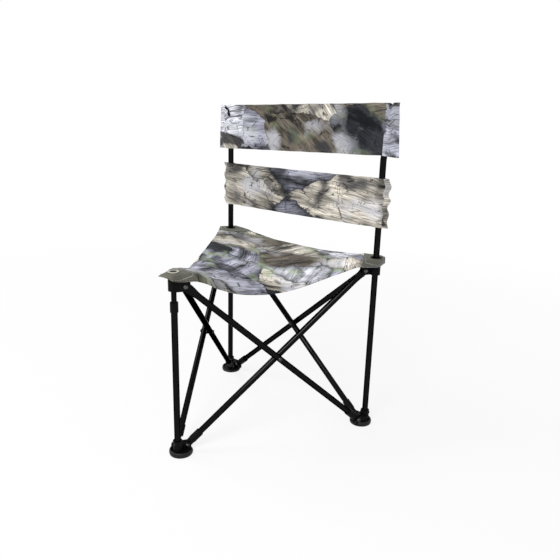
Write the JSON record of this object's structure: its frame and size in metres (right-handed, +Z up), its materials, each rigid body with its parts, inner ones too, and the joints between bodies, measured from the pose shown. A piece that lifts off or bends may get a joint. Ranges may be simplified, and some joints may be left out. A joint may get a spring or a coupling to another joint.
{
  "type": "three leg stool",
  "caption": "Folding stool: upright legs joined by crossing braces that fold like scissors, a sling seat and two cloth back bands on tall rear posts.",
  "frame": {"origin": "on the floor, under the middle of the bounding box", "axes": "+Z up, -Y towards the front leg, +X to the right as seen from the front"},
  "size_m": [0.5772, 0.4998, 0.8052],
  "materials": {
    "tube": "satin black powder coat",
    "moulding": "black moulded nylon",
    "pad": "black rubber",
    "rivet": "blackened steel",
    "grommet": "nickel plated",
    "fabric": "printed woven polyester",
    "patch": "olive grey reinforcement cloth"
  },
  "bodies": {
    "front_leg": {"front_foot": "moulding", "front_foot_pad": "pad", "front_foot_rivets": "rivet", "front_leg_pin": "rivet", "front_lower_leg": "tube", "front_leg_collar": "moulding"},
    "right_leg": {"right_foot": "moulding", "right_foot_pad": "pad", "right_foot_rivets": "rivet", "right_leg_pin": "rivet", "right_post": "tube", "right_post_cap": "moulding", "top_back_band": "fabric"},
    "left_leg": {"left_foot": "moulding", "left_foot_pad": "pad", "left_foot_rivets": "rivet", "left_leg_pin": "rivet", "left_post": "tube", "left_post_cap": "moulding", "lower_back_band": "fabric"},
    "front_hub": {"front_hub": "moulding", "front_hub_rivets": "rivet", "front_seat_grommet": "grommet", "front_seat_patch": "patch", "front_upper_leg": "tube", "front_leg_plug": "moulding", "seat": "fabric"},
    "right_hub": {"right_hub": "moulding", "right_hub_rivets": "rivet", "right_seat_grommet": "grommet", "right_seat_patch": "patch"},
    "left_hub": {"left_hub": "moulding", "left_hub_rivets": "rivet", "left_seat_grommet": "grommet", "left_seat_patch": "patch"},
    "right_inner_brace": {"right_side_inner_brace": "tube", "right_side_inner_brace_knuckle": "moulding", "right_side_cross_rivet": "rivet", "right_side_cross_washer": "rivet"},
    "right_outer_brace": {"right_side_outer_brace": "tube", "right_side_outer_brace_knuckle": "moulding"},
    "left_inner_brace": {"left_side_inner_brace": "tube", "left_side_inner_brace_knuckle": "moulding", "left_side_cross_rivet": "rivet", "left_side_cross_washer": "rivet"},
    "left_outer_brace": {"left_side_outer_brace": "tube", "left_side_outer_brace_knuckle": "moulding"},
    "rear_inner_brace": {"rear_side_inner_brace": "tube", "rear_side_inner_brace_knuckle": "moulding", "rear_side_cross_rivet": "rivet", "rear_side_cross_washer": "rivet"},
    "rear_outer_brace": {"rear_side_outer_brace": "tube", "rear_side_outer_brace_knuckle": "moulding"}
  },
  "joints": [
    {"name": "fold", "type": "hinge", "parent": "front_leg", "child": "right_inner_brace", "pos_m": [0.00464, -0.19188, 0.018], "axis": [0.866, -0.5, 0], "range_deg": [0, 42], "deforming": ["seat", "top_back_band", "lower_back_band"]},
    {"name": "left_outer_brace_hinge", "type": "hinge", "parent": "front_leg", "child": "left_outer_brace", "pos_m": [-0.01936, -0.20038, 0.018], "axis": [0.866, 0.5, 0], "range_deg": [0, 42]},
    {"name": "right_side_crossing", "type": "hinge", "parent": "right_inner_brace", "child": "right_outer_brace", "pos_m": [0.12375, -0.00258, 0.218], "axis": [0.866, -0.5, 0], "range_deg": [-84, 0]},
    {"name": "left_side_crossing", "type": "hinge", "parent": "left_outer_brace", "child": "left_inner_brace", "pos_m": [-0.12375, -0.00258, 0.218], "axis": [0.866, 0.5, 0], "range_deg": [-84, 0]},
    {"name": "right_foot_hinge", "type": "hinge", "parent": "right_outer_brace", "child": "right_leg", "pos_m": [0.24286, 0.18673, 0.018], "axis": [0.866, -0.5, 0], "range_deg": [0, 42]},
    {"name": "left_foot_hinge", "type": "hinge", "parent": "left_inner_brace", "child": "left_leg", "pos_m": [-0.22814, 0.19523, 0.018], "axis": [0.866, 0.5, 0], "range_deg": [0, 42]},
    {"name": "right_hub_hinge", "type": "hinge", "parent": "right_inner_brace", "child": "right_hub", "pos_m": [0.22814, 0.19523, 0.418], "axis": [0.866, -0.5, 0], "range_deg": [-42, 0]},
    {"name": "left_hub_hinge", "type": "hinge", "parent": "left_outer_brace", "child": "left_hub", "pos_m": [-0.24286, 0.18673, 0.418], "axis": [0.866, 0.5, 0], "range_deg": [-42, 0]},
    {"name": "front_hub_hinge", "type": "hinge", "parent": "right_outer_brace", "child": "front_hub", "pos_m": [0.01936, -0.20038, 0.418], "axis": [0.866, -0.5, 0], "range_deg": [0, 42]},
    {"name": "rear_outer_brace_hinge", "type": "hinge", "parent": "left_leg", "child": "rear_outer_brace", "pos_m": [-0.2235, 0.22027, 0.018], "axis": [0, -1, 0], "range_deg": [0, 42]},
    {"name": "rear_inner_brace_hinge", "type": "hinge", "parent": "right_leg", "child": "rear_inner_brace", "pos_m": [0.2235, 0.20327, 0.018], "axis": [0, 1, 0], "range_deg": [0, 42]}
  ],
  "couplings": [
    {"joint": "left_outer_brace_hinge", "follows": "fold", "ratio": 1},
    {"joint": "right_side_crossing", "follows": "fold", "ratio": -2},
    {"joint": "left_side_crossing", "follows": "fold", "ratio": -2},
    {"joint": "right_foot_hinge", "follows": "fold", "ratio": 1},
    {"joint": "left_foot_hinge", "follows": "fold", "ratio": 1},
    {"joint": "right_hub_hinge", "follows": "fold", "ratio": -1},
    {"joint": "left_hub_hinge", "follows": "fold", "ratio": -1},
    {"joint": "front_hub_hinge", "follows": "fold", "ratio": 1},
    {"joint": "rear_outer_brace_hinge", "follows": "fold", "ratio": 1},
    {"joint": "rear_inner_brace_hinge", "follows": "fold", "ratio": 1}
  ]
}
